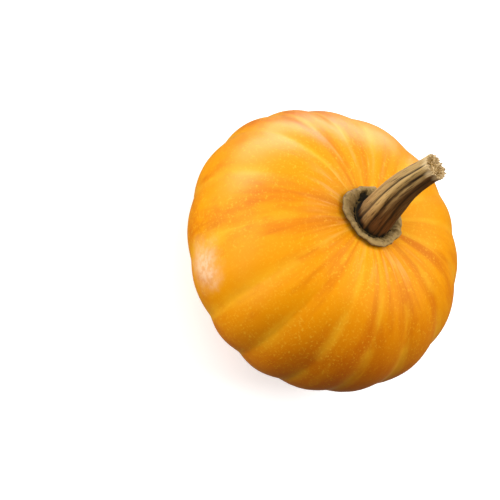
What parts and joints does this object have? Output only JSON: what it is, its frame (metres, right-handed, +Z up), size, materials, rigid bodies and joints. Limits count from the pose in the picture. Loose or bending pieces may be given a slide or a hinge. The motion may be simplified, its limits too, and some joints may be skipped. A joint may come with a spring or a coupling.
{
  "type": "pumpkin",
  "caption": "Small round ribbed pumpkin with a waxy orange skin and a dry ridged stem on a corky collar, standing on its blossom end as food or autumn decoration.",
  "frame": {"origin": "on the fruit's axis, in the plane of the flat foot that the fruit stands on", "axes": "+Z up the fruit's axis from the blossom end to the stem; -Y is azimuth 0, the side below the collar in the usual view; the stem leans back towards +Y and a little to -X"},
  "size_m": [0.1314, 0.1311, 0.1272],
  "materials": {
    "skin": "waxy orange rind with paler grooves and fine light flecks",
    "dry_stem": "dry, ridged and fibrous, tan on its ridges and dark brown between them"
  },
  "bodies": {
    "root": {"fruit": "skin", "stem": "dry_stem"}
  },
  "joints": []
}
